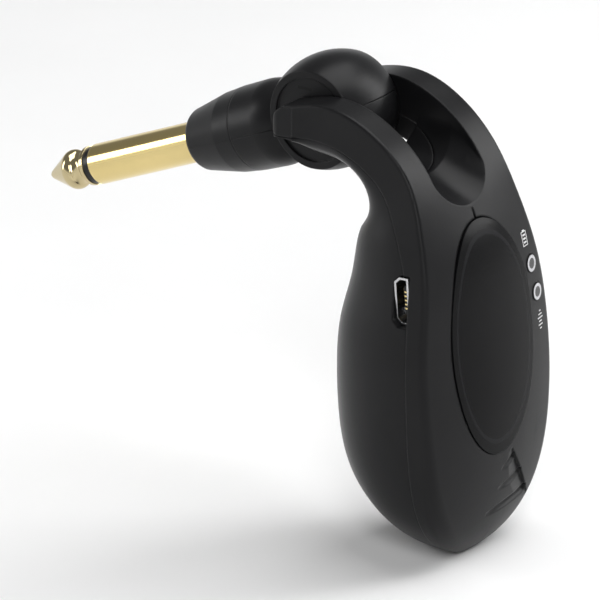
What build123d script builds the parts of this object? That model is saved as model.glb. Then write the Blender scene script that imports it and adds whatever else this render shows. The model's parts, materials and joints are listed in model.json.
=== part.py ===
"""Wireless guitar transmitter with a folding quarter-inch plug.

Lengths are millimetres, +Z is up the body, -Y is the badge face, and X is the hinge axis.
Everything is laid out from the hinge axis. At export it all moves so that the origin is the
middle of the plug holder's mouth, where the plug leaves it.
"""
import os
from math import cos, radians, sin

from build123d import *

os.makedirs("parts", exist_ok=True)

# ---- driving dimensions ------------------------------------------------------------------
PLUG_DROP = 23.3              # rest angle of the plug below the horizontal, degrees
WALL = 1.8                    # moulded wall of both shells
FULL = 0.66                   # fullness of the rounded back, 0.55 is a plain ellipse
SLOT_HALF = 6.2               # half the gap between the prongs
SLOT_FLOOR = -6.1             # z of the slot's round bottom
SCOOP_IN = (-15.5, -5.14, 0.89)     # y, z at the middle and z at the sides, inside the slot
SCOOP_OUT = (-30.0, -11.2, -10.4)   # the same, out past the face
HUB_SWEEP = 11.0              # round clearance for the hub between the prongs
PRONG_END = 3.75              # the prongs' ends are round about the hinge pin
PRONG_CORNER = 1.5

SOCKET_MIDDLE = (0, -23.0, -21.1)   # level of the charging socket in the body
SOCKET_RIM = [(3.75, 1.3), (3.75, -0.3), (2.9, -1.3)]
SOCKET_GAP = 0.15
BOARD_TILT = 4.0
BOARD_BACK = 1.3              # board faces, measured towards the badge from the socket
BOARD_FRONT = 2.3
BOARD_EDGE = [(10.6, 4.0), (11.6, -1.0), (11.6, -26.0), (9.5, -29.0)]
LOW_SCREWS = [(-6.0, -33.0), (6.0, -33.0)]
HIGH_SCREWS = [(-6.4, 9.4), (6.4, 9.4)]
POST_RADIUS = 2.1
SCREW_RADIUS = 0.85
HEAD_RADIUS = 1.6
HEAD_DEPTH = 1.3
LIGHTS = [(11.4, -1.0), (12.4, -5.8)]
LIGHT_RADIUS = 1.35

BADGE_MIDDLE = -9.0           # board-plane height of the badge's middle
BADGE_HALF = (10.0, 18.4)
BADGE_THICK = 1.0
BADGE_FLOOR = 3.4             # below the plate's thinnest edge, towards the board
BADGE_PROUD = 0.15
BADGE_SLIT = 0.4              # pry slot above the badge

# Raised panel at the lower right of the face: its edge, and the finger grooves that stop at it.
GRIP_EDGE = [(3.3, -31.1, -48.4), (9.3, -29.3, -57.7)]
GRIP_DEPTH = 0.15
GRIP_FADE = (6.0, 0.9)        # run and rise of the recess, away from the panel's edge
GROOVES = [
    ((0.7, -31.0, -51.2), (4.2, -30.95, -49.9)),
    ((0.0, -30.7, -54.4), (6.4, -30.45, -53.4)),
    ((-1.9, -29.9, -58.1), (8.7, -29.6, -57.0)),
]
GROOVE_RADIUS = 0.8
GROOVE_DEPTH = 0.6            # at the panel's edge; the other end just touches the face

BUTTON_UP = 2.8               # board-plane heights of the side controls
BUTTON_RADIUS = 2.2
FLANGE_RADIUS = 2.7
FLANGE_END = 11.2             # x of the flange face that keeps the button in the shell
SWITCH_UP = -13.4
KNOB_LENGTH = 5.4
KNOB_DEPTH = 3.8
KNOB_TRAVEL = 2.8
FIT = 0.2                     # clearance round moving controls

HUB_HALF = 5.9                # half the hub's width between the prongs
HUB_RADIUS = 7.7
HUB_CROWN = 1.2
HUB_DISH = 0.4                # recess inside the hub's raised rims
RIM_INNER = 6.6
BARREL_RADIUS = 6.75
BARREL_START = 8.6
SEAM_AT = 16.0                # holder halves end and the nose begins
SEAM_RADIUS = 6.6
CORNER_AT = 19.6
CORNER_RADIUS = 6.25
MOUTH_AT = 27.0
MOUTH_RADIUS = 4.9
HOLDER_BORE = 4.6

SLEEVE_RADIUS = 3.175         # quarter-inch plug
SLEEVE_END = 48.6
RING_END = 49.9
TIP_END = 59.0
SEAT_RADIUS = 3.4             # of the plug inside the nose, up to the mouth
RING_RADIUS = 2.95
COLLAR_START = 18.0
COLLAR_END = 22.5
STUB_START = 12.0
STUB_RADIUS = 2.7
CORE_RADIUS = 1.95
ROD_RADIUS = 1.15
ROD_START = 9.6

PIN_RADIUS = 1.6
PIN_BORE = 0.9
PIN_INNER = 3.4
PIN_OUTER = 9.4
PIN_PLAY = 0.05
WASHER_RADIUS = 3.2
WASHER_THICK = 0.5

# Stations down the body: front edge y, z; parting edge y, z; half width; depth behind the
# parting edge; crown of the front face; radius of the face's side corners.
STATIONS = [
    (4.2, 3.4, 4.0, -1.2, 11.0, 2.4, 0.05, 0.5),
    (-2.2, 4.4, -2.0, -0.9, 11.0, 3.2, 0.05, 0.5),
    (-9.4, 4.8, -8.6, -1.2, 11.0, 4.0, 0.05, 0.5),
    (-15.9, 2.2, -13.6, -3.3, 11.0, 5.4, 0.05, 0.5),
    (-21.5, -2.8, -17.3, -6.5, 11.1, 8.3, 0.2, 0.5),
    (-25.2, -10.8, -20.6, -11.8, 12.4, 12.0, 0.8, 0.6),
    (-27.5, -19.6, -23.9, -19.9, 14.2, 16.7, 1.5, 0.8),
    (-28.3, -28.9, -25.0, -28.9, 15.8, 19.7, 1.9, 0.9),
    (-28.9, -37.0, -25.3, -37.0, 16.1, 20.6, 2.1, 1.0),
    (-29.3, -45.0, -25.3, -45.0, 15.6, 20.3, 2.0, 1.3),
    (-29.3, -52.5, -25.2, -52.5, 14.2, 18.6, 1.6, 1.8),
    (-28.7, -58.8, -24.9, -58.8, 11.2, 14.4, 1.1, 2.3),
    (-27.3, -62.8, -24.5, -62.8, 7.2, 10.2, 0.7, 1.9),
    (-25.8, -64.9, -24.0, -64.9, 3.2, 4.6, 0.3, 1.0),
]
CAVITY_TOP = (-25.9, -13.6, -21.6, -14.3, 12.6, 11.6, 1.2, 0.7)
CAVITY = [CAVITY_TOP] + STATIONS[6:13]
PARTING_STEP = 0.12           # the rear shell stands back from the front one all round

# ---- frames ------------------------------------------------------------------------------
PLUG_DIR = Vector(0, cos(radians(PLUG_DROP)), -sin(radians(PLUG_DROP)))
PLUG_UP = Vector(0, sin(radians(PLUG_DROP)), cos(radians(PLUG_DROP)))
PLUG_AXIS = Axis((0, 0, 0), PLUG_DIR)
PLUG_SIDE = Plane(origin=(0, 0, 0), x_dir=PLUG_DIR, z_dir=(1, 0, 0))
HOLDER_SPLIT = Plane(origin=(0, 0, 0), x_dir=(1, 0, 0), z_dir=PLUG_UP)
TO_ORIGIN = Location(PLUG_DIR * -MOUTH_AT)
BOARD_UP = Vector(0, sin(radians(BOARD_TILT)), cos(radians(BOARD_TILT)))
BOARD_OUT = Vector(0, -cos(radians(BOARD_TILT)), sin(radians(BOARD_TILT)))


def board_plane(out=0.0):
    """Plane of the board: x across, y up the board, normal towards the badge."""
    return Plane(origin=Vector(*SOCKET_MIDDLE) + BOARD_OUT * out, x_dir=(1, 0, 0), z_dir=BOARD_OUT)


def side_plane(x):
    """Plane across the side controls: x up the board, y towards the badge, normal to +X."""
    return Plane(origin=Vector(*SOCKET_MIDDLE) + Vector(x, 0, 0), x_dir=BOARD_UP, z_dir=(1, 0, 0))


def plug_plane(along=0.0):
    """Plane across the plug axis, normal towards the tip, y pointing down."""
    return Plane(origin=PLUG_DIR * along, x_dir=(1, 0, 0), z_dir=PLUG_DIR)


def station_plane(front_y, front_z, seam_y, seam_z):
    """Plane through a station's two edges: x across the body, y towards its back."""
    back = Vector(0, seam_y - front_y, seam_z - front_z).normalized()
    return Plane(origin=(0, seam_y, seam_z), x_dir=(1, 0, 0), z_dir=Vector(1, 0, 0).cross(back))


def socket_rim():
    """Outline of the charging socket, its chamfered side away from the badge."""
    Polyline(*SOCKET_RIM, *[(-x, y) for x, y in reversed(SOCKET_RIM)], close=True)


def save(piece, name):
    """Label a finished piece, move it to the part's origin and write it."""
    moved = piece.part.moved(TO_ORIGIN)
    moved.label = name
    export_step(moved, f"parts/{name}.step")


def front_section(station, inset=0.0, past=0.0):
    """Front shell outline at one station: crowned face, rounded corners, side bands."""
    front_y, front_z, seam_y, seam_z, half, _, crown, corner = station
    face = inset - Vector(0, seam_y - front_y, seam_z - front_z).length
    half = half - inset
    ease = crown * (1 - ((half - corner) / half) ** 2)
    with BuildSketch(station_plane(front_y, front_z, seam_y, seam_z)) as outline:
        with BuildLine():
            top = ThreePointArc(
                (corner - half, face - ease), (0, face - crown), (half - corner, face - ease)
            )
            Bezier(top @ 1, (half, face), (half, face + corner))
            Polyline((half, face + corner), (half, past), (-half, past), (-half, face + corner))
            Bezier((-half, face + corner), (-half, face), top @ 0)
        make_face()
    return outline.sketch


def rear_section(station, inset=PARTING_STEP, past=0.0):
    """Rear shell outline at one station: parting line and a full rounded back."""
    front_y, front_z, seam_y, seam_z, half, depth = station[:6]
    half = half - inset
    depth = depth - inset
    with BuildSketch(station_plane(front_y, front_z, seam_y, seam_z)) as outline:
        with BuildLine():
            Bezier((half, -past), (half, FULL * depth), (FULL * half, depth), (0, depth))
            Bezier((0, depth), (-FULL * half, depth), (-half, FULL * depth), (-half, -past))
            Line((-half, -past), (half, -past))
        make_face()
    return outline.sketch


def scoop_section(along, middle, side):
    """Scoop outline across the body: a hollow floor with open sides up to the slot's top."""
    with BuildSketch(Plane(origin=(0, along, 0), x_dir=(1, 0, 0), z_dir=(0, -1, 0))) as outline:
        with BuildLine():
            floor = ThreePointArc((-SLOT_HALF, side), (0, middle), (SLOT_HALF, side))
            Polyline(floor @ 1, (SLOT_HALF, 15), (-SLOT_HALF, 15), floor @ 0)
        make_face()
    return outline.sketch


# ---- shell forms -------------------------------------------------------------------------
with BuildPart() as slot:
    with BuildSketch(Plane.XZ.offset(-15)):
        with Locations((0, SLOT_FLOOR + SLOT_HALF)):
            Circle(SLOT_HALF)
        with Locations((0, SLOT_FLOOR + SLOT_HALF + 10)):
            Rectangle(2 * SLOT_HALF, 20)
    extrude(amount=60)
    with BuildSketch(Plane.YZ.offset(-SLOT_HALF)):
        Circle(HUB_SWEEP)
    extrude(amount=2 * SLOT_HALF)

# The scoop below the slot starts as its round bottom and flattens out through the face.
with BuildPart() as scoop:
    loft([scoop_section(*SCOOP_IN), scoop_section(*SCOOP_OUT)], ruled=True)

with BuildPart() as prong_trim:
    with BuildSketch(Plane.YZ.offset(-15)):
        with Locations((8, 0)):
            Rectangle(16, 24)
        Circle(PRONG_END, mode=Mode.SUBTRACT)
    extrude(amount=30)
    with BuildSketch(Plane.XY.offset(-12)):
        with Locations((0, PRONG_END)):
            Rectangle(30, 8)
            with Locations((0, -5.7)):
                RectangleRounded(22, 12, PRONG_CORNER, mode=Mode.SUBTRACT)
    extrude(amount=24)

with BuildPart() as front_body:
    loft([front_section(station) for station in STATIONS])

with BuildPart() as rear_body:
    loft([rear_section(station) for station in STATIONS])

with BuildPart() as front_cavity:
    loft([front_section(station, WALL, 1.0) for station in CAVITY])
    with BuildSketch(board_plane(-10)):
        with Locations(*LOW_SCREWS):
            Circle(POST_RADIUS)
    extrude(amount=30, mode=Mode.SUBTRACT)
    with BuildSketch(board_plane(BOARD_FRONT)):
        with Locations((-9, -22), (9, -22), (-8, 1.5), (4.5, 1.5)):
            Circle(1.1)
    extrude(amount=10, mode=Mode.SUBTRACT)

with BuildPart() as rear_cavity:
    loft([rear_section(station, WALL, 1.0) for station in CAVITY])
    with BuildSketch(board_plane(-30)):
        with Locations(*LOW_SCREWS):
            Circle(POST_RADIUS)
    extrude(amount=40, mode=Mode.SUBTRACT)

with BuildPart() as side_openings:
    # charging socket, -X side
    with BuildSketch(side_plane(-20)):
        with BuildLine():
            socket_rim()
        make_face()
        offset(amount=SOCKET_GAP)
    extrude(amount=9)
    # channel button, +X side
    with BuildSketch(side_plane(9)):
        with Locations((BUTTON_UP, 0)):
            Circle(BUTTON_RADIUS + FIT)
    extrude(amount=11)
    with BuildSketch(side_plane(9)):
        with Locations((BUTTON_UP, 0)):
            Circle(FLANGE_RADIUS + FIT)
    extrude(amount=FLANGE_END + FIT - 9)
    # power switch window, +X side
    with BuildSketch(side_plane(12)):
        with Locations((SWITCH_UP, 0)):
            Rectangle(KNOB_LENGTH + KNOB_TRAVEL + 2 * FIT, KNOB_DEPTH + 2 * FIT)
    extrude(amount=8)
    # screw shanks
    with BuildSketch(board_plane(-10)):
        with Locations(*LOW_SCREWS, *HIGH_SCREWS):
            Circle(SCREW_RADIUS)
    extrude(amount=13)
    # hinge pins
    with BuildSketch(Plane.YZ.offset(-PIN_OUTER)):
        Circle(PIN_RADIUS)
    extrude(amount=2 * PIN_OUTER)

with BuildPart() as badge_core:
    loft([front_section(station, BADGE_THICK - BADGE_PROUD, 1.0) for station in STATIONS[4:12]])

with BuildPart() as badge_skin:
    loft([front_section(station, -BADGE_PROUD, 1.0) for station in STATIONS[4:12]])

with BuildPart() as badge_pocket:
    with BuildSketch(board_plane(BADGE_FLOOR)):
        with Locations((0, BADGE_MIDDLE)):
            Ellipse(BADGE_HALF[0] + 0.1, BADGE_HALF[1] + 0.1)
        with Locations((0, BADGE_MIDDLE + BADGE_HALF[1] + 0.6)):
            Rectangle(BADGE_SLIT, 3.4)
    extrude(amount=12)
    add(badge_core.part, mode=Mode.SUBTRACT)

with BuildPart() as badge_plate:
    with BuildSketch(board_plane(BADGE_FLOOR)):
        with Locations((0, BADGE_MIDDLE)):
            Ellipse(*BADGE_HALF)
    extrude(amount=12)
    add(badge_core.part, mode=Mode.SUBTRACT)
    add(badge_skin.part, mode=Mode.INTERSECT)
save(badge_plate, "badge_plate")

# The recess beside the raised panel fades out to the left, and so does each groove.
with BuildPart() as grip:
    edge_start, edge_end = (Vector(*point) for point in GRIP_EDGE)
    edge = edge_end - edge_start
    beside = edge.cross(Vector(0, -1, 0)).normalized()
    fade_run, fade_rise = GRIP_FADE
    with BuildSketch(Plane(origin=edge_start, x_dir=beside, z_dir=edge)):
        with BuildLine():
            floor = Line((fade_run, GRIP_DEPTH - fade_rise), (0, GRIP_DEPTH))
            Polyline(floor @ 1, (0, -4), (fade_run, -4), floor @ 0)
        make_face()
    extrude(amount=edge.length * 1.3)
    for shallow, deep in GROOVES:
        start = Vector(*shallow) + Vector(0, -GROOVE_RADIUS, 0)
        end = Vector(*deep) + Vector(0, GROOVE_DEPTH - GROOVE_RADIUS, 0)
        with BuildSketch(Plane(origin=start, z_dir=end - start)):
            Circle(GROOVE_RADIUS)
        extrude(amount=(end - start).length)

with BuildPart() as front_shell:
    add(front_body.part)
    add(slot.part, mode=Mode.SUBTRACT)
    add(scoop.part, mode=Mode.SUBTRACT)
    add(prong_trim.part, mode=Mode.SUBTRACT)
    add(front_cavity.part, mode=Mode.SUBTRACT)
    add(side_openings.part, mode=Mode.SUBTRACT)
    add(badge_pocket.part, mode=Mode.SUBTRACT)
    add(grip.part, mode=Mode.SUBTRACT)
    with BuildSketch(board_plane(BOARD_FRONT + 0.5)):
        with Locations(*LIGHTS):
            Circle(LIGHT_RADIUS + 0.05)
    extrude(amount=6, mode=Mode.SUBTRACT)
save(front_shell, "front_shell")

with BuildPart() as rear_shell:
    add(rear_body.part)
    add(slot.part, mode=Mode.SUBTRACT)
    add(scoop.part, mode=Mode.SUBTRACT)
    add(prong_trim.part, mode=Mode.SUBTRACT)
    add(rear_cavity.part, mode=Mode.SUBTRACT)
    add(side_openings.part, mode=Mode.SUBTRACT)
    with BuildSketch(board_plane(-7.2)):
        with Locations(*LOW_SCREWS):
            Circle(HEAD_RADIUS + 0.15)
    extrude(amount=-20, mode=Mode.SUBTRACT)
    with BuildSketch(board_plane(-4.6)):
        with Locations(*HIGH_SCREWS):
            Circle(HEAD_RADIUS + 0.15)
    extrude(amount=-20, mode=Mode.SUBTRACT)
save(rear_shell, "rear_shell")

# ---- electronics -------------------------------------------------------------------------
with BuildPart() as circuit_board:
    with BuildSketch(board_plane(BOARD_BACK)):
        with BuildLine():
            Polyline(*BOARD_EDGE)
            mirror(about=Plane.YZ)
            Line(BOARD_EDGE[0], (-BOARD_EDGE[0][0], BOARD_EDGE[0][1]))
            Line(BOARD_EDGE[-1], (-BOARD_EDGE[-1][0], BOARD_EDGE[-1][1]))
        make_face()
        with Locations((12.0, BUTTON_UP)):
            Rectangle(4.4, 6.2, mode=Mode.SUBTRACT)
    extrude(amount=BOARD_FRONT - BOARD_BACK)
save(circuit_board, "circuit_board")

with BuildPart() as shield_can:
    with BuildSketch(board_plane(BOARD_BACK)):
        with Locations((-1, -6)):
            RectangleRounded(12, 10, 0.8)
    extrude(amount=-2.0)
save(shield_can, "shield_can")

with BuildPart() as antenna:
    with BuildSketch(board_plane(BOARD_BACK)):
        with Locations((-1.5, 2.6)):
            Rectangle(9, 1.6)
        with Locations((-5.4, 1.2)):
            Rectangle(1.2, 1.6)
        with Locations((-2.6, 1.2)):
            Rectangle(1.2, 1.6)
    extrude(amount=-0.8)
save(antenna, "antenna")

with BuildPart() as usb_socket:
    with BuildSketch(side_plane(-13.9)):
        with BuildLine():
            socket_rim()
        make_face()
        offset(amount=-0.35, mode=Mode.SUBTRACT)
    extrude(amount=5.2)
    with BuildSketch(side_plane(-9.3)):
        Rectangle(7.0, 2.2)
    extrude(amount=0.6)
save(usb_socket, "usb_socket")

with BuildPart() as usb_tongue:
    with BuildSketch(side_plane(-13.3)):
        with Locations((0, 0.35)):
            Rectangle(4.4, 0.6)
    extrude(amount=4.0)
save(usb_tongue, "usb_tongue")

with BuildPart() as light_chips:
    with BuildSketch(board_plane(BOARD_FRONT)):
        with Locations(*[(x - 1.2, y - 0.2) for x, y in LIGHTS]):
            Rectangle(1.6, 0.8)
    extrude(amount=0.4)
save(light_chips, "light_chips")

with BuildPart() as light_blank:
    with BuildSketch(board_plane(BOARD_FRONT + 0.5)):
        with Locations(*LIGHTS):
            Circle(LIGHT_RADIUS)
    extrude(amount=8)
    add(badge_skin.part, mode=Mode.INTERSECT)
lenses = light_blank.part.solids().sort_by(Axis.Z)
for solid, name in zip(lenses, ("audio", "battery")):
    with BuildPart() as light_lens:
        add(solid)
    save(light_lens, f"{name}_light_lens")

with BuildPart() as battery_cell:
    with BuildSketch(board_plane(-4.0)):
        with Locations((0, -15.5)):
            Rectangle(19, 29)
    extrude(amount=-7.0)
    fillet(battery_cell.edges().filter_by(Axis.X, reverse=True).filter_by(GeomType.LINE), 0.8)
save(battery_cell, "battery_cell")

with BuildPart() as battery_pad:
    with BuildSketch(board_plane(-2.4)):
        with Locations((0, -18)):
            Rectangle(14, 20)
    extrude(amount=-1.6)
save(battery_pad, "battery_pad")

with BuildPart() as tact_switch:
    with BuildSketch(side_plane(6.6)):
        with Locations((BUTTON_UP, -0.35)):
            Rectangle(4.6, 3.3)
            Circle(1.3, mode=Mode.SUBTRACT)
    extrude(amount=3.0)
save(tact_switch, "tact_switch")

with BuildPart() as channel_button:
    with BuildSketch(side_plane(FLANGE_END)):
        with Locations((BUTTON_UP, 0)):
            Circle(FLANGE_RADIUS)
    extrude(amount=-0.7)
    with BuildSketch(side_plane(FLANGE_END)):
        with Locations((BUTTON_UP, 0)):
            Circle(BUTTON_RADIUS)
    extrude(amount=3.2)
    fillet(channel_button.edges().sort_by(Axis.X)[-1], 0.5)
save(channel_button, "channel_button")

with BuildPart() as button_plunger:
    with BuildSketch(side_plane(7.4)):
        with Locations((BUTTON_UP, -0.35)):
            Circle(1.0)
    extrude(amount=3.1)
save(button_plunger, "button_plunger")

with BuildPart() as switch_body:
    with BuildSketch(side_plane(7.0)):
        with Locations((SWITCH_UP, -0.6)):
            Rectangle(10.5, 3.8)
    extrude(amount=4.2)
save(switch_body, "switch_body")

KNOB_REST = SWITCH_UP - KNOB_TRAVEL / 2
with BuildPart() as power_slider:
    with BuildSketch(side_plane(12.0)):
        with Locations((KNOB_REST, 0)):
            Rectangle(12.0, 5.4)
    extrude(amount=1.2)
    with BuildSketch(side_plane(13.2)):
        with Locations((KNOB_REST, 0)):
            RectangleRounded(KNOB_LENGTH, KNOB_DEPTH, 0.4)
    extrude(amount=3.2)
    with BuildSketch(side_plane(16.4)):
        with Locations((KNOB_REST, 0)):
            with GridLocations(0.9, 0, 5, 1):
                Rectangle(0.4, KNOB_DEPTH)
    extrude(amount=-0.45, mode=Mode.SUBTRACT)
save(power_slider, "power_slider")

# ---- plug holder -------------------------------------------------------------------------
with BuildPart() as holder_body:
    with BuildSketch(Plane.XY):
        with BuildLine():
            crown = ThreePointArc(
                (-HUB_HALF, HUB_RADIUS), (0, HUB_RADIUS + HUB_CROWN), (HUB_HALF, HUB_RADIUS)
            )
            Polyline(crown @ 1, (HUB_HALF, 0), (-HUB_HALF, 0), crown @ 0)
        make_face()
    revolve(axis=Axis.X)
    with BuildSketch(PLUG_SIDE):
        with BuildLine():
            Polyline((SEAM_AT, SEAM_RADIUS), (SEAM_AT, 0), (0, 0), (0, 5.0), (5.0, 5.2))
            flare = Spline(
                (5.0, 5.2), (BARREL_START, 6.3), (11.2, BARREL_RADIUS), tangents=[(1, 0.1), (1, 0)]
            )
            Line((11.2, BARREL_RADIUS), (SEAM_AT, SEAM_RADIUS))
        make_face()
    revolve(axis=PLUG_AXIS)
    # dished faces inside the raised rims
    for side in (-1, 1):
        with BuildSketch(Plane.YZ.offset(side * (HUB_HALF - HUB_DISH))):
            Circle(RIM_INNER)
        extrude(amount=side * 2, mode=Mode.SUBTRACT)
    # pin bores, lead-way and plug bore
    with BuildSketch(Plane.YZ.offset(-HUB_HALF)):
        Circle(PIN_RADIUS + PIN_PLAY)
    extrude(amount=HUB_HALF - PIN_INNER + 0.2, mode=Mode.SUBTRACT)
    with BuildSketch(Plane.YZ.offset(HUB_HALF)):
        Circle(PIN_RADIUS + PIN_PLAY)
    extrude(amount=-(HUB_HALF - PIN_INNER + 0.2), mode=Mode.SUBTRACT)
    with BuildSketch(Plane.YZ.offset(-PIN_INNER)):
        Circle(PIN_BORE)
    extrude(amount=2 * PIN_INNER, mode=Mode.SUBTRACT)
    with BuildSketch(plug_plane()):
        Circle(1.8)
    extrude(amount=8, mode=Mode.SUBTRACT)
    with BuildSketch(plug_plane(7)):
        Circle(HOLDER_BORE)
    extrude(amount=SEAM_AT - 7, mode=Mode.SUBTRACT)
    # screw from the underside
    with BuildSketch(HOLDER_SPLIT.offset(-3.2)):
        with Locations((0, -4.6)):
            Circle(1.5)
    extrude(amount=-8, mode=Mode.SUBTRACT)
    with BuildSketch(HOLDER_SPLIT.offset(-3.2)):
        with Locations((0, -4.6)):
            Circle(0.8)
    extrude(amount=6.4, mode=Mode.SUBTRACT)

with BuildPart() as holder_upper:
    add(holder_body.part)
    split(bisect_by=HOLDER_SPLIT, keep=Keep.TOP)
save(holder_upper, "holder_upper")

with BuildPart() as holder_lower:
    add(holder_body.part)
    split(bisect_by=HOLDER_SPLIT, keep=Keep.BOTTOM)
save(holder_lower, "holder_lower")

with BuildPart() as holder_nose:
    with BuildSketch(PLUG_SIDE):
        with BuildLine():
            nose = Line((SEAM_AT, SEAM_RADIUS), (CORNER_AT, CORNER_RADIUS))
            cone = Line(nose @ 1, (MOUTH_AT - 1.0, MOUTH_RADIUS))
            rim = ThreePointArc(
                cone @ 1, (MOUTH_AT - 0.3, MOUTH_RADIUS - 0.45), (MOUTH_AT, MOUTH_RADIUS - 1.1)
            )
            Polyline(
                rim @ 1,
                (MOUTH_AT, SEAT_RADIUS),
                (COLLAR_END, SEAT_RADIUS),
                (COLLAR_END, HOLDER_BORE),
                (SEAM_AT, HOLDER_BORE),
                nose @ 0,
            )
        make_face()
    revolve(axis=PLUG_AXIS)
save(holder_nose, "holder_nose")

with BuildPart() as holder_screw:
    with BuildSketch(HOLDER_SPLIT.offset(-3.2)):
        with Locations((0, -4.6)):
            Circle(0.8)
    extrude(amount=6.2)
    with BuildSketch(HOLDER_SPLIT.offset(-3.2)):
        with Locations((0, -4.6)):
            Circle(1.4)
    extrude(amount=-1.1)
    with BuildSketch(HOLDER_SPLIT.offset(-4.3)):
        with Locations((0, -4.6)):
            Rectangle(1.6, 0.4)
            Rectangle(0.4, 1.6)
    extrude(amount=0.6, mode=Mode.SUBTRACT)
save(holder_screw, "holder_screw")

for side, name in ((-1, "left"), (1, "right")):
    with BuildPart() as pivot_bush:
        with BuildSketch(Plane.YZ.offset(side * PIN_INNER)):
            Circle(PIN_RADIUS)
            Circle(PIN_BORE, mode=Mode.SUBTRACT)
        extrude(amount=side * (PIN_OUTER - PIN_INNER))
    save(pivot_bush, f"pivot_bush_{name}")
    with BuildPart() as friction_washer:
        with BuildSketch(Plane.YZ.offset(side * SLOT_HALF)):
            Circle(WASHER_RADIUS)
            Circle(PIN_RADIUS, mode=Mode.SUBTRACT)
        extrude(amount=-side * WASHER_THICK)
    save(friction_washer, f"friction_washer_{name}")

# ---- plug --------------------------------------------------------------------------------
with BuildPart() as plug_sleeve:
    with BuildSketch(PLUG_SIDE):
        with BuildLine():
            Polyline(
                (STUB_START, CORE_RADIUS),
                (STUB_START, STUB_RADIUS),
                (COLLAR_START, STUB_RADIUS),
                (COLLAR_START, HOLDER_BORE),
                (COLLAR_END, HOLDER_BORE),
                (COLLAR_END, SEAT_RADIUS),
                (MOUTH_AT, SEAT_RADIUS),
                (MOUTH_AT, SLEEVE_RADIUS),
                (SLEEVE_END, SLEEVE_RADIUS),
                (SLEEVE_END, CORE_RADIUS),
                close=True,
            )
        make_face()
    revolve(axis=PLUG_AXIS)
save(plug_sleeve, "plug_sleeve")

with BuildPart() as plug_insulator:
    with BuildSketch(PLUG_SIDE):
        with BuildLine():
            Polyline(
                (STUB_START - 0.8, ROD_RADIUS),
                (STUB_START - 0.8, STUB_RADIUS),
                (STUB_START, STUB_RADIUS),
                (STUB_START, CORE_RADIUS),
                (SLEEVE_END, CORE_RADIUS),
                (SLEEVE_END, RING_RADIUS),
                (RING_END, RING_RADIUS),
                (RING_END, ROD_RADIUS),
                close=True,
            )
        make_face()
    revolve(axis=PLUG_AXIS)
save(plug_insulator, "plug_insulator")

with BuildPart() as plug_tip:
    with BuildSketch(PLUG_SIDE):
        with BuildLine():
            shoulder = Polyline(
                (RING_END, ROD_RADIUS), (RING_END, 3.1), (RING_END + 0.6, 3.1), (RING_END + 1.6, 2.15)
            )
            neck = ThreePointArc(shoulder @ 1, (RING_END + 2.3, 2.2), (RING_END + 3.0, 2.75))
            ball = ThreePointArc(neck @ 1, (RING_END + 3.7, 3.1), (RING_END + 4.5, 2.95))
            Polyline(
                ball @ 1,
                (TIP_END - 0.5, 0.75),
                (TIP_END, 0.35),
                (TIP_END, 0),
                (ROD_START, 0),
                (ROD_START, ROD_RADIUS),
                shoulder @ 0,
            )
        make_face()
    revolve(axis=PLUG_AXIS)
save(plug_tip, "plug_tip")

with BuildPart() as ground_lug:
    with BuildSketch(plug_plane(COLLAR_START)):
        Circle(4.3)
        Circle(STUB_RADIUS, mode=Mode.SUBTRACT)
    extrude(amount=-0.4)
save(ground_lug, "ground_lug")

with BuildPart() as tip_lug:
    with BuildSketch(plug_plane(ROD_START + 0.6)):
        Circle(2.3)
        Circle(ROD_RADIUS, mode=Mode.SUBTRACT)
    extrude(amount=0.4)
save(tip_lug, "tip_lug")

# ---- shell screws ------------------------------------------------------------------------
with BuildPart() as shell_screws:
    for seat, spots in ((-7.2, LOW_SCREWS), (-4.6, HIGH_SCREWS)):
        with BuildSketch(board_plane(seat)):
            with Locations(*spots):
                Circle(HEAD_RADIUS)
        extrude(amount=-HEAD_DEPTH)
        with BuildSketch(board_plane(seat)):
            with Locations(*spots):
                Circle(SCREW_RADIUS)
        extrude(amount=3.0 - seat)
        with BuildSketch(board_plane(seat - HEAD_DEPTH)):
            with Locations(*spots):
                Rectangle(1.8, 0.45)
                Rectangle(0.45, 1.8)
        extrude(amount=0.7, mode=Mode.SUBTRACT)
save(shell_screws, "shell_screws")
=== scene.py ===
"""Looks for the wireless guitar transmitter: camera, finishes, fine pieces and the room."""
import json
import math

import bmesh
import bpy
from mathutils import Matrix, Vector


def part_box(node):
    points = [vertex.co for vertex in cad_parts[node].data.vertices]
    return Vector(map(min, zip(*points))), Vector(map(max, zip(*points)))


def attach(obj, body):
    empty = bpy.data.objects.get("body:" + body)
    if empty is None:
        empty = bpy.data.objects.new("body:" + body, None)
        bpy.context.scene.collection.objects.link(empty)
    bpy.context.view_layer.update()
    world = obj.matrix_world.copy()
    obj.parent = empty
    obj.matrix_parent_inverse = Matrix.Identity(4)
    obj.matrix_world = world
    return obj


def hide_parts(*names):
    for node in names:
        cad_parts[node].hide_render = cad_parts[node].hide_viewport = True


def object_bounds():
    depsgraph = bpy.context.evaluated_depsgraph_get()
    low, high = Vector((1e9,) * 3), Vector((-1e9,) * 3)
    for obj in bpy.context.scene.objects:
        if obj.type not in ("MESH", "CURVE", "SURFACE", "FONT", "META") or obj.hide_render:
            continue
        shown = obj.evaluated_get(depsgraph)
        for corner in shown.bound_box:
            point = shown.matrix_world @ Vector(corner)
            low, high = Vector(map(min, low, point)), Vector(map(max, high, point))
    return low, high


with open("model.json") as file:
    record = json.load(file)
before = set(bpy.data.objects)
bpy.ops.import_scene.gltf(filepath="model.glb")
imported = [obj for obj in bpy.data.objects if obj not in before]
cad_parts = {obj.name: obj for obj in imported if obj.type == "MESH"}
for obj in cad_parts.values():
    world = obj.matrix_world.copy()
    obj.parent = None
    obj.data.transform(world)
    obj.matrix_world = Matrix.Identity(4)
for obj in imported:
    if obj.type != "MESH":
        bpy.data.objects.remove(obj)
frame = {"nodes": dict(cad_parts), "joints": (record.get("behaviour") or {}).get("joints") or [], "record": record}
cad_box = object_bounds()
nodes = frame["nodes"]
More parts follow.
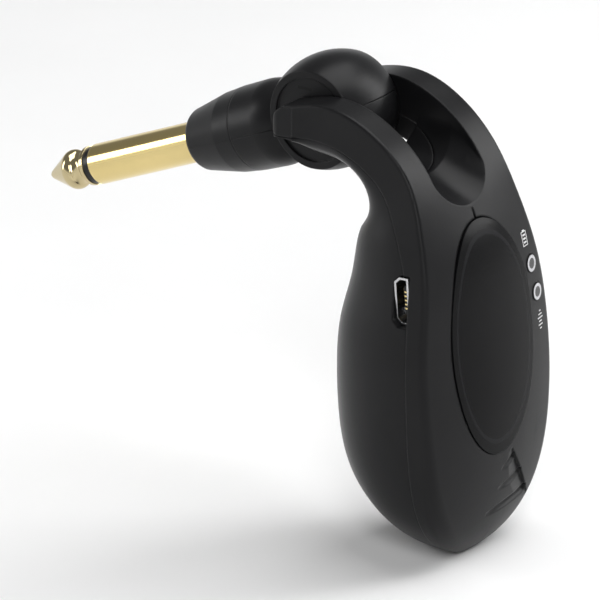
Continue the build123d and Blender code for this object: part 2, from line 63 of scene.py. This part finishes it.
joints = {joint["name"]: joint for joint in frame["joints"]}
mounts = {mount["name"]: mount for mount in frame["record"]["mounts"]}

MM = 0.001
HINGE = Vector(joints["plug_hinge"]["pos_m"])
PLUG_DIR = Vector(mounts["plug"]["axis"])
ACROSS = Vector((1, 0, 0))         # along the hinge, away from the charging socket
PLUG_UP = ACROSS.cross(PLUG_DIR)
BOARD_UP = Vector(joints["power_slide"]["axis"])
BOARD_OUT = ACROSS.cross(BOARD_UP)     # out of the badge face


def middle(node):
    """Middle of a node's box at rest."""
    low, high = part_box(node)
    return (Vector(low) + Vector(high)) / 2


# ---- camera ----------------------------------------------------------------------------------
AZIMUTH = math.radians(-53)
ELEVATION = math.radians(22)
DISTANCE = 1.6                     # in metres
VIEW_WIDTH = 90.2 * MM             # what the frame takes in at the hinge's distance
AIM_RIGHT = -5.2 * MM              # from the hinge to the middle of the view
AIM_DOWN = 28.7 * MM
FILM_WIDTH = 36                    # in millimetres, as the lens is
NEAR = 0.01
FAR = 20

back = Vector((math.sin(AZIMUTH) * math.cos(ELEVATION),
               -math.cos(AZIMUTH) * math.cos(ELEVATION),
               math.sin(ELEVATION)))
right = Vector((math.cos(AZIMUTH), math.sin(AZIMUTH), 0))
up = back.cross(right)


def make_camera():
    lens = bpy.data.cameras.new("camera")
    lens.sensor_width = FILM_WIDTH
    lens.lens = FILM_WIDTH * DISTANCE / VIEW_WIDTH
    lens.clip_start = NEAR
    lens.clip_end = FAR
    camera = bpy.data.objects.new("camera", lens)
    bpy.context.collection.objects.link(camera)
    aim = HINGE + right * AIM_RIGHT - up * AIM_DOWN
    place = Matrix((right, up, back)).transposed().to_4x4()
    place.translation = aim + back * DISTANCE
    camera.matrix_world = place
    bpy.context.scene.camera = camera


make_camera()
bpy.context.scene.view_settings.view_transform = "Standard"


# ---- finishes --------------------------------------------------------------------------------
class Wire:
    """An output of a shader node; Python's own operators on it add Math nodes."""

    def __init__(self, finish, socket):
        self.finish = finish
        self.socket = socket

    def math(self, operation, *others):
        return self.finish.node("ShaderNodeMath", {"operation": operation}, self, *others)

    def __add__(self, other):
        return self.math("ADD", other)

    __radd__ = __add__

    def __sub__(self, other):
        return self.math("SUBTRACT", other)

    def __rsub__(self, other):
        return self.math("MULTIPLY_ADD", -1.0, other)

    def __mul__(self, other):
        return self.math("MULTIPLY", other)

    __rmul__ = __mul__

    def __truediv__(self, other):
        return self.math("DIVIDE", other)

    def __rtruediv__(self, other):
        return self.math("POWER", -1.0) * other

    def __lt__(self, other):
        return self.math("LESS_THAN", other)

    def __gt__(self, other):
        return self.math("GREATER_THAN", other)

    def __abs__(self):
        return self.math("ABSOLUTE")


# sockets of a Mix node that mixes colours
MIX_SHARE, MIX_FIRST, MIX_SECOND, MIX_RESULT = 0, 6, 7, 2
BEVEL_RAYS = 6


class Finish:
    """One material, or the world, built node by node."""

    def __init__(self, name, kind=bpy.data.materials, shader="Principled BSDF"):
        self.material = kind.new(name)
        self.material.use_nodes = True
        self.tree = self.material.node_tree
        self.shader = self.tree.nodes[shader]

    def node(self, kind, settings=None, *inputs, out=0, numbered=None, **named):
        """Add a node: its settings first, then its sockets by order, number or name."""
        made = self.tree.nodes.new(kind)
        for key, value in (settings or {}).items():
            if key == "stops":
                self.set_stops(made.color_ramp, value)
            else:
                setattr(made, key, value)
        for index, value in (numbered or dict(enumerate(inputs))).items():
            self.feed(made.inputs[index], value)
        for key, value in named.items():
            self.feed(made.inputs[key.replace("_", " ").title()], value)
        return Wire(self, made.outputs[out])

    def set_stops(self, ramp, stops):
        """Give a colour ramp its stops, each a place from 0 to 1 and a level of grey."""
        while len(ramp.elements) < len(stops):
            ramp.elements.new(0.5)
        for element, (place, grey) in zip(ramp.elements, stops):
            element.position = place
            element.color = (grey, grey, grey, 1)

    def feed(self, socket, value):
        """Link a socket to a wire, or set it to a plain value."""
        if isinstance(value, Wire):
            self.tree.links.new(value.socket, socket)
        elif socket.type == "RGBA" and len(value) == 3:
            socket.default_value = (*value, 1)
        else:
            socket.default_value = value

    def set(self, **values):
        """Feed the shader's own sockets, by name."""
        for key, value in values.items():
            self.feed(self.shader.inputs[key.replace("_", " ").title().replace("Ior", "IOR")], value)

    def place(self):
        return self.node("ShaderNodeTexCoord", out="Object")

    def along(self, origin, direction):
        """Distance of a point from a plane, in millimetres."""
        offset = self.node("ShaderNodeVectorMath", {"operation": "SUBTRACT"}, self.place(), origin)
        scaled = tuple(component / MM for component in direction)
        return self.node("ShaderNodeVectorMath", {"operation": "DOT_PRODUCT"}, offset, scaled,
                         out="Value")

    def noise(self, scale, detail=2.0, stretch=(1, 1, 1)):
        """Smooth noise about 0.5; the scale is in blots to the metre."""
        spot = self.node("ShaderNodeMapping", None, vector=self.place(), scale=stretch)
        return self.node("ShaderNodeTexNoise", None, vector=spot, scale=scale, detail=detail)

    def seen(self):
        """1 for rays that show the room itself, 0 for the light that it gives."""
        shown = [self.node("ShaderNodeLightPath", out=f"Is {kind} Ray")
                 for kind in ("Camera", "Glossy", "Transmission")]
        return (shown[0] + shown[1] + shown[2]).math("MINIMUM", 1.0)

    def ramp(self, value, *stops):
        return self.node("ShaderNodeValToRGB", {"stops": stops}, value)

    def blend(self, share, first, second):
        """Mix two colours; a share of 1 gives the second."""
        return self.node("ShaderNodeMix", {"data_type": "RGBA"}, out=MIX_RESULT,
                         numbered={MIX_SHARE: share, MIX_FIRST: first, MIX_SECOND: second})

    def bump(self, height, distance, edge=0.0):
        """Relief of the given depth in millimetres, over edges eased by a small radius."""
        eased = {}
        if edge:
            eased["normal"] = self.node("ShaderNodeBevel", {"samples": BEVEL_RAYS}, edge * MM)
        return self.node("ShaderNodeBump", None,
                         strength=1.0, distance=distance * MM, height=height, **eased)


def times(colour, factor):
    """The same colour, lighter or darker."""
    return tuple(part * factor for part in colour)


CLOUDS = 110                       # scales of noise, in blots to the metre
SCUFFS = 520
TARNISH = 160
TOOL_LINES = 900
DOME_HAZE = 900
LACQUER_SPECKS = 3600
LACQUER_HAZE = 90

SCUFF_STRETCH = (1, 1, 0.25)       # scuffs run along the part's height
SCUFF_STOPS = ((0.62, 0), (0.74, 1))

PLASTIC_SWING = 0.08               # how far a noise moves the roughness
SCUFF_SWING = 0.05
METAL_SWING = 0.06
METAL_RELIEF = 0.002               # depth of the turned lines, in millimetres
PALER = 1.5                        # a moulding's clouds against its colour
TARNISHED = 0.82                   # a metal's clouds against its colour

SEAM_HALF = 0.055                  # half widths and radii are in millimetres
SEAM_SHARE = 0.85                  # how much of a seam's colour shows
# dark of the seams, and the painted shade of the slit beside the pin
SEAM_AND_SLIT_SHADE_DARK = (0.0008, 0.0008, 0.0008)
SEAM_SINK = 8                      # depth of a seam, in depths of the grain
NOSE_AT = 16 * MM                  # from the hinge to the nose's seam
# the slit beside the pin is painted shade of its hollow, over a shallow sunk relief
SLOT_PLACE = Vector((-5.6, 1.4, 4.7)) * MM
SLOT_HALVES = (1.3, 0.25)

LENS_RADIUS = 1.35
LENS_SMOKE = (0.006, 0.006, 0.007)
# pale collar round each dome, partly a real collar and partly a painted highlight of the dome
COLLAR_AND_HIGHLIGHT = (0.5, 0.5, 0.52)
COLLAR_AND_HIGHLIGHT_STOPS = ((0.56, 0), (0.64, 1), (0.9, 1), (0.97, 0))       # in lens radii

BADGE_STRETCH = 1.84               # the oval's height over its width
RINGS = 12                         # turned rings, in radians to the millimetre
BORDER_REACH = 10                  # in millimetres
# a pale ring just inside the badge's rim, a painted highlight of its edge
HIGHLIGHT_RIM_STOPS = ((0.86, 0), (0.88, 1), (0.9, 1), (0.92, 0))       # in border reaches
HIGHLIGHT_RIM_PALER = 4
HIGHLIGHT_RIM_SHARE = 0.6


def moulded_plastic(name, colour, roughness, grain, depth, edge=0.0, specular=0.3, marks=None):
    """Fine-textured moulding with faint clouding, light scuffs and eased edges."""
    finish = Finish(name)
    fine = finish.noise(grain, 3.0)
    broad = finish.noise(CLOUDS, 3.0)
    scuffs = finish.ramp(finish.noise(SCUFFS, 4.0, SCUFF_STRETCH), *SCUFF_STOPS)
    tone = finish.blend(broad, colour, times(colour, PALER))
    relief = fine
    if marks:
        # marks are darkened in colour: real dark seams, and painted shade where a mark stands for a hollow
        pressed_and_shaded = marks(finish)
        tone = finish.blend(pressed_and_shaded * SEAM_SHARE, tone, SEAM_AND_SLIT_SHADE_DARK)
        relief = fine - pressed_and_shaded * SEAM_SINK
    finish.set(
        base_color=tone,
        roughness=(fine * PLASTIC_SWING + broad * PLASTIC_SWING + scuffs * SCUFF_SWING
                   + (roughness - PLASTIC_SWING)),
        specular_ior_level=specular,
        normal=finish.bump(relief, depth, edge),
    )
    return finish.material


def metal(name, colour, roughness, edge=0.0):
    """Plated metal: fine turned lines, and slight tarnish in clouds."""
    finish = Finish(name)
    lines = finish.noise(TOOL_LINES)
    cloud = finish.noise(TARNISH, 3.0)
    finish.set(
        base_color=finish.blend(cloud, colour, times(colour, TARNISHED)),
        metallic=1.0,
        roughness=lines * METAL_SWING + cloud * METAL_SWING + (roughness - METAL_SWING),
        normal=finish.bump(lines, METAL_RELIEF, edge),
    )
    return finish.material


def light_pipe(node):
    """Smoked dome in a pale moulded collar; the pale ring also stands in for the dome's reflected highlight,
    painted into the colour.
    """
    finish = Finish(node + " finish")
    along_x = finish.along(middle(node), ACROSS)
    along_up = finish.along(middle(node), BOARD_UP)
    radius = (along_x * along_x + along_up * along_up).math("SQRT")
    collar_and_highlight = finish.ramp(radius / LENS_RADIUS, *COLLAR_AND_HIGHLIGHT_STOPS)
    haze = finish.noise(DOME_HAZE)
    finish.set(
        # the pale ring is partly the collar's own colour and partly a painted highlight
        base_color=finish.blend(collar_and_highlight, LENS_SMOKE, COLLAR_AND_HIGHLIGHT),
        roughness=haze * 0.05 + 0.04,
        specular_ior_level=0.6,
        normal=finish.bump(haze, 0.001),
    )
    return finish.material


def badge_gloss(name, colour):
    """Lacquered plate with fine turned rings, left without any lettering, and a painted highlight: a pale line
    just inside its rim.
    """
    finish = Finish(name)
    across = finish.along(middle("badge_plate"), ACROSS)
    height = finish.along(middle("badge_plate"), BOARD_UP) / BADGE_STRETCH
    reach = (across * across + height * height).math("SQRT")
    rings = (reach * RINGS).math("SINE")
    speck = finish.noise(LACQUER_SPECKS)
    highlight_rim = finish.ramp(reach / BORDER_REACH, *HIGHLIGHT_RIM_STOPS)
    finish.set(
        # the pale ring near the rim is a painted highlight; it is also a little rougher
        base_color=finish.blend(highlight_rim * HIGHLIGHT_RIM_SHARE, colour, times(colour, HIGHLIGHT_RIM_PALER)),
        roughness=speck * 0.05 + highlight_rim * 0.12 + finish.noise(LACQUER_HAZE, 3.0) * 0.06 + 0.16,
        specular_ior_level=0.09,
        normal=finish.bump(rings * 0.3 + speck, 0.002, edge=0.12),
    )
    return finish.material


def hub_seams_and_slit_shade(finish):
    """The holder's seam lines, and the short slot beside the pin on the socket's side, whose darkness is painted
    shade of its hollow.
    """
    split = abs(finish.along(HINGE, PLUG_UP)) < SEAM_HALF
    ring = abs(finish.along(HINGE + PLUG_DIR * NOSE_AT, PLUG_DIR)) < SEAM_HALF
    slot_long = abs(finish.along(HINGE + SLOT_PLACE, Vector((0, 1, 0)))) < SLOT_HALVES[0]
    slot_tall = abs(finish.along(HINGE + SLOT_PLACE, Vector((0, 0, 1)))) < SLOT_HALVES[1]
    near_side = finish.along(HINGE, ACROSS) < SLOT_PLACE.x / MM + 1
    return split.math("MAXIMUM", ring).math("MAXIMUM", slot_long * slot_tall * near_side)


finishes = {
    "shell": moulded_plastic("moulded black", (0.0055, 0.0055, 0.006), roughness=0.33,
                             grain=3000, depth=0.006, edge=0.45, specular=0.16),
    "holder": moulded_plastic("holder black", (0.006, 0.006, 0.0065), roughness=0.35,
                              grain=3000, depth=0.006, edge=0.35, specular=0.16, marks=hub_seams_and_slit_shade),
    "badge": badge_gloss("badge black", (0.003, 0.003, 0.0034)),
    "chip": moulded_plastic("light chip", (0.8, 0.78, 0.6), roughness=0.4, grain=1500, depth=0.002),
    "board": moulded_plastic("solder mask", (0.012, 0.09, 0.035), roughness=0.35,
                             grain=1200, depth=0.004),
    "steel": metal("plated steel", (0.62, 0.62, 0.63), roughness=0.2, edge=0.08),
    "tongue": moulded_plastic("socket tongue", (0.01, 0.01, 0.01), roughness=0.4,
                              grain=1500, depth=0.002),
    "cell": metal("foil pouch", (0.6, 0.61, 0.63), roughness=0.4),
    "foam": moulded_plastic("foam", (0.03, 0.03, 0.032), roughness=0.9, grain=1500, depth=0.05),
    "switch": moulded_plastic("switch housing", (0.03, 0.03, 0.032), roughness=0.5,
                              grain=1500, depth=0.004),
    "button": metal("polished cap", (0.75, 0.75, 0.77), roughness=0.12, edge=0.15),
    "knob": metal("ribbed knob", (0.72, 0.72, 0.74), roughness=0.18, edge=0.08),
    "screw": metal("black oxide", (0.08, 0.08, 0.085), roughness=0.35, edge=0.08),
    "bush": metal("turned brass", (0.72, 0.52, 0.24), roughness=0.3),
    "washer": moulded_plastic("acetal", (0.65, 0.64, 0.6), roughness=0.45, grain=1500, depth=0.003),
    "gold": metal("gold plate", (0.8, 0.64, 0.29), roughness=0.1, edge=0.1),
    "tip": metal("plug tip", (0.62, 0.52, 0.3), roughness=0.1, edge=0.1),
    "core": moulded_plastic("insulator", (0.004, 0.004, 0.0045), roughness=0.3,
                            grain=1500, depth=0.002),
    "lug": metal("tinned lug", (0.72, 0.66, 0.5), roughness=0.3),
}
for part in frame["record"]["subparts"]:
    mesh = nodes[part["node"]].data
    mesh.materials.clear()
    if part["material_slot"] == "lens":
        mesh.materials.append(light_pipe(part["node"]))
    else:
        mesh.materials.append(finishes[part["material_slot"]])


# ---- fine pieces -----------------------------------------------------------------------------
def finished(name, drawing, finish, body):
    """Make a piece of a drawing, give it its finish and the body it rides on."""
    mesh = bpy.data.meshes.new(name)
    drawing.to_mesh(mesh)
    drawing.free()
    mesh.materials.append(finish)
    piece = bpy.data.objects.new(name, mesh)
    bpy.context.collection.objects.link(piece)
    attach(piece, body)
    return piece


# printed marks: places, lengths and widths are in millimetres, from the mark's middle
INK = 0.02 * MM
CELL = 0.2                         # side of a bar's grid cells
ARC_STEP = 12                      # degrees in one step of an arc
FEWEST_STEPS = 6
RAY_START = 6 * MM                 # how far out of a face the search for it starts
OUTLINE = 0.13                     # widths of the strokes
ROUND_STROKE = 0.16
ink = moulded_plastic("pale ink", (0.55, 0.55, 0.55), roughness=0.45, grain=2600, depth=0.002)


def bar(drawing, x, y, width, height):
    """Flat stroke of a printed mark, cut finely enough to follow a curved face."""
    made = bmesh.ops.create_grid(drawing, x_segments=max(1, round(width / CELL)),
                                 y_segments=max(1, round(height / CELL)), size=0.5)
    bmesh.ops.scale(drawing, verts=made["verts"], vec=(width * MM, height * MM, 1))
    bmesh.ops.translate(drawing, verts=made["verts"], vec=(x * MM, y * MM, 0))


def arc(drawing, radius, width, start, sweep):
    """Curved stroke about the mark's middle; the angles are degrees from its right."""
    turn = Matrix.Rotation(math.radians(start), 3, "Z")
    ends = [drawing.verts.new(turn @ Vector((reach * MM, 0, 0)))
            for reach in (radius - width / 2, radius + width / 2)]
    edge = drawing.edges.new(ends)
    bmesh.ops.spin(drawing, geom=[edge, *ends], cent=(0, 0, 0), axis=(0, 0, 1),
                   angle=math.radians(sweep), steps=max(FEWEST_STEPS, round(sweep / ARC_STEP)),
                   use_merge=sweep == 360)


def print_on(node, name, drawing, place, across, upward):
    """Lay a drawn mark on a node's face as a thin film of ink."""
    outward = across.cross(upward)
    turn = Matrix((across, upward, outward)).transposed().to_4x4()
    bmesh.ops.transform(drawing, matrix=Matrix.Translation(place) @ turn, verts=drawing.verts)
    for vert in drawing.verts:
        hit, spot, _, _ = nodes[node].ray_cast(vert.co + outward * RAY_START, -outward)
        if hit:
            vert.co = spot + outward * INK
    bmesh.ops.recalc_face_normals(drawing, faces=drawing.faces)
    if sum((face.normal for face in drawing.faces), Vector()).dot(outward) < 0:
        bmesh.ops.reverse_faces(drawing, faces=drawing.faces)
    piece = finished(name, drawing, ink, "body")
    film = piece.modifiers.new("film", "SOLIDIFY")
    film.thickness = INK * 2
    film.offset = -1


def battery():
    """A cell's outline and terminal, with three bars of charge."""
    mark = bmesh.new()
    for side in (-1, 1):
        bar(mark, 0, side * 0.66, 2.1, OUTLINE)
        bar(mark, side * 1.05, 0, OUTLINE, 1.45)
    bar(mark, -1.22, 0, 0.2, 0.6)
    for step in (-0.55, 0, 0.55):
        bar(mark, step, 0, 0.26, 0.8)
    return mark


def sound_bars():
    mark = bmesh.new()
    for step, tall in enumerate((0.5, 1.1, 1.6, 0.9, 1.3, 0.6)):
        bar(mark, (step - 2.5) * 0.55, 0, 0.2, tall)
    return mark


def spreading_waves():
    mark = bmesh.new()
    arc(mark, 0.22, 0.3, 0, 360)
    for radius in (0.8, 1.4):
        arc(mark, radius, ROUND_STROKE, 30, 120)
    return mark


def power_sign():
    """A ring broken by a stroke."""
    mark = bmesh.new()
    arc(mark, 0.75, ROUND_STROKE, 120, 300)
    bar(mark, 0, 0.55, ROUND_STROKE, 0.9)
    return mark


bpy.context.view_layer.update()
upper_light = middle("battery_light_lens")
lower_light = middle("audio_light_lens")
above_light = upper_light + (BOARD_UP * 4.1 - ACROSS * 0.8) * MM
below_light = lower_light - (BOARD_UP * 4.6 - ACROSS * 0.5) * MM
above_button = middle("channel_button") + BOARD_UP * 3.4 * MM
above_knob = middle("power_slider") + BOARD_UP * 8.6 * MM
print_on("front_shell", "battery_mark", battery(), above_light, -BOARD_UP, ACROSS)
print_on("front_shell", "sound_mark", sound_bars(), below_light, -BOARD_UP, ACROSS)
print_on("front_shell", "channel_mark", spreading_waves(), above_button, -BOARD_OUT, BOARD_UP)
print_on("rear_shell", "power_mark", power_sign(), above_knob, -BOARD_OUT, BOARD_UP)


# spring contacts and light packages: sizes are across, out of the board and up it, in millimetres
CONTACT_PITCH = 0.65
LEAF = (3.4, 0.07, 0.3)
LEAF_ACROSS = 0.2
LEAF_OUT = -0.33                   # from the middle of the tongue to its underside
FOLD = (0.07, 0.5, 0.3)
FOLD_ACROSS = -1.98                # from the middle of the tongue to its front end
FOLD_OUT = -0.05
HOUSING = (1.1, 0.4, 0.76)
PLATED_END = (0.22, 0.28, 0.76)
END_ACROSS = 0.62
END_OUT = -0.06
CHIP_REACH = 2 * MM                # a light's own chip lies this close to it along the board
WINDOW_AREA = 0.3 * MM * MM        # only a housing's broad faces are larger
WINDOW_RIM = 0.1 * MM
WINDOW_DEPTH = 0.06 * MM


def block(drawing, place, size):
    """Small block square to the circuit board."""
    made = bmesh.ops.create_cube(drawing, size=1)
    turn = Matrix((ACROSS, BOARD_OUT, BOARD_UP)).transposed().to_4x4()
    bmesh.ops.scale(drawing, verts=made["verts"], vec=tuple(length * MM for length in size))
    bmesh.ops.transform(drawing, matrix=Matrix.Translation(place) @ turn, verts=made["verts"])


def ease(drawing, radius):
    """Round every edge by a radius in millimetres."""
    bmesh.ops.bevel(drawing, geom=drawing.edges[:], offset=radius * MM, affect="EDGES",
                    segments=2, profile=0.5, material=-1)


def make_contacts():
    """Spring contacts under the socket's tongue, folded over its front end."""
    tongue = middle("usb_tongue")
    leaves = bmesh.new()
    for step in range(-2, 3):
        row = tongue + BOARD_UP * step * CONTACT_PITCH * MM
        block(leaves, row + (ACROSS * LEAF_ACROSS + BOARD_OUT * LEAF_OUT) * MM, LEAF)
        block(leaves, row + (ACROSS * FOLD_ACROSS + BOARD_OUT * FOLD_OUT) * MM, FOLD)
    ease(leaves, 0.02)
    finished("socket_contacts", leaves, finishes["gold"], "body")


def chip_place(light):
    """Middle of the chip behind a light."""
    corners = [vert.co for vert in nodes["light_chips"].data.vertices
               if abs((vert.co - light).dot(BOARD_UP)) < CHIP_REACH]
    place = Vector()
    for axis in (ACROSS, BOARD_OUT, BOARD_UP):
        reach = [corner.dot(axis) for corner in corners]
        place += axis * (min(reach) + max(reach)) / 2
    return place


def make_light_packages():
    """A housing with a sunk window behind each light, and its plated ends."""
    housings = bmesh.new()
    ends = bmesh.new()
    for light in (upper_light, lower_light):
        place = chip_place(light)
        block(housings, place, HOUSING)
        for side in (-1, 1):
            block(ends, place + (ACROSS * side * END_ACROSS + BOARD_OUT * END_OUT) * MM, PLATED_END)
    ease(housings, 0.04)
    housings.normal_update()
    windows = [face for face in housings.faces
               if face.normal.dot(BOARD_OUT) > 0.99 and face.calc_area() > WINDOW_AREA]
    bmesh.ops.inset_individual(housings, faces=windows, thickness=WINDOW_RIM, depth=-WINDOW_DEPTH)
    ease(ends, 0.03)
    packages = finished("chip_housings", housings, finishes["chip"], "body")
    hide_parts("light_chips")
    finished("chip_ends", ends, finishes["gold"], "body")


make_contacts()
make_light_packages()


# ---- room ------------------------------------------------------------------------------------
FLOOR_SIZE = 6                     # half the floor's side, in metres as the rest of the room is
FLOOR_GAP = 0.3 * MM               # between the part's lowest point and the floor
ROOM_WHITE = 0.96                  # how bright the far floor and the walls look
FLOOR_FADE = ((0.2, 0), (0.55, 1))     # where the lit floor gives way to that white
WALL_STOPS = (0.12, 0.3)           # rise of the view where the wall starts and ends its dimming
DIM_ROOM = 0.25                    # how bright the room looks overhead
WORLD = 0.12                       # strength of the room's own light
LAMP_AIM = HINGE + Vector((0, 0, -30 * MM))
PAPER_CLOUDS = 40
PAPER = ((0.9, 0.9, 0.9), (0.93, 0.93, 0.93))


def make_floor():
    drawing = bmesh.new()
    bmesh.ops.create_grid(drawing, x_segments=1, y_segments=1, size=FLOOR_SIZE)
    bmesh.ops.translate(drawing, verts=drawing.verts, vec=(0, 0, cad_box[0][2] - FLOOR_GAP))
    mesh = bpy.data.meshes.new("floor")
    drawing.to_mesh(mesh)
    drawing.free()
    floor = bpy.data.objects.new("floor", mesh)
    bpy.context.collection.objects.link(floor)
    paper = Finish("pale paper")
    paper.set(
        base_color=paper.blend(paper.noise(PAPER_CLOUDS), *PAPER),
        roughness=0.9,
        specular_ior_level=0.1,
    )
    reach = paper.node("ShaderNodeVectorMath", {"operation": "LENGTH"}, paper.place(), out="Value")
    far = paper.ramp(reach, *FLOOR_FADE) * paper.seen()
    glow = paper.node("ShaderNodeEmission", None, (ROOM_WHITE,) * 3)
    lit = Wire(paper, paper.shader.outputs[0])
    sheet = paper.node("ShaderNodeMixShader", None, far, lit, glow)
    paper.feed(paper.tree.nodes["Material Output"].inputs["Surface"], sheet)
    mesh.materials.append(paper.material)


def make_walls():
    """White at eye level and dim overhead to look at, with an even, weak light of its own."""
    room = Finish("room", bpy.data.worlds, "Background")
    view = room.node("ShaderNodeTexCoord", out="Generated")
    rise = abs(room.node("ShaderNodeSeparateXYZ", None, view, out="Z"))
    wall = room.ramp(rise, (WALL_STOPS[0], ROOM_WHITE), (WALL_STOPS[1], DIM_ROOM))
    room.set(color=(0.98, 0.99, 1.0), strength=room.seen() * (wall - WORLD) + WORLD)
    bpy.context.scene.world = room.material


def soft_box(name, offset, size, power):
    """Square-cornered lamp, its place in metres from the hinge and its power in watts."""
    lamp = bpy.data.lights.new(name, "AREA")
    lamp.shape = "RECTANGLE"
    lamp.size, lamp.size_y = size
    lamp.energy = power
    box = bpy.data.objects.new(name, lamp)
    box.visible_camera = False
    bpy.context.collection.objects.link(box)
    spot = HINGE + offset
    turn = (LAMP_AIM - spot).to_track_quat("-Z", "Y").to_matrix().to_4x4()
    box.matrix_world = Matrix.Translation(spot) @ turn


make_floor()
make_walls()
soft_box("overhead", right * 0.15 + up * 0.55 + back * 0.12, (0.5, 0.5), 2.85)
soft_box("right box", right * 0.52 + up * 0.3 - back * 0.05, (0.24, 0.44), 1.9)
soft_box("left box", right * -0.55 + up * 0.16, (0.16, 0.36), 0.9)
soft_box("front box", back * 0.6 + up * 0.1 + right * 0.03, (0.16, 0.36), 1.6)
